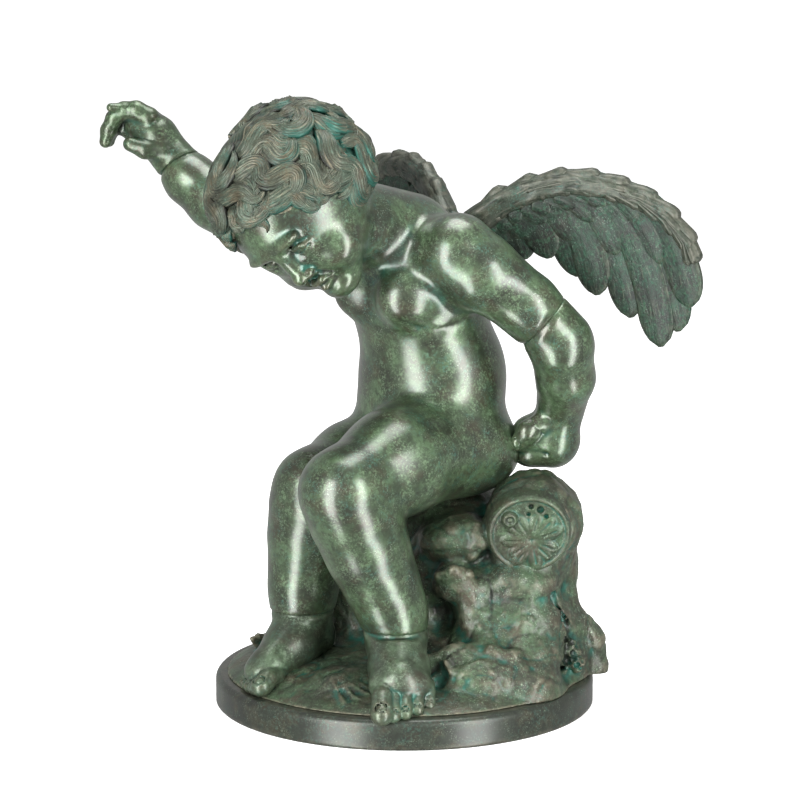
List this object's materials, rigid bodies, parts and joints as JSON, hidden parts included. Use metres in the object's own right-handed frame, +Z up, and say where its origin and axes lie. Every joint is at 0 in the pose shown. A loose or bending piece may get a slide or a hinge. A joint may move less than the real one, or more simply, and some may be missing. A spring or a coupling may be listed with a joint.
{
  "type": "bronze putto statue",
  "caption": "Bronze putto with feathered wings, seated on a rocky mound and leaning forward with the right arm raised and the left fist on the hip, on a round plinth.",
  "frame": {"origin": "centre of the plinth's flat underside", "axes": "+Z up; +X to the right and +Y away from a viewer who stands in front of the plinth with the figure's left foot nearest"},
  "size_m": [0.5228, 0.3926, 0.5297],
  "materials": {
    "figure_bronze": "green patina, waxed",
    "plinth_bronze": "dark brown-green patina, waxed"
  },
  "bodies": {
    "root": {"round_plinth": "plinth_bronze", "putto_on_rock": "figure_bronze"}
  },
  "joints": []
}
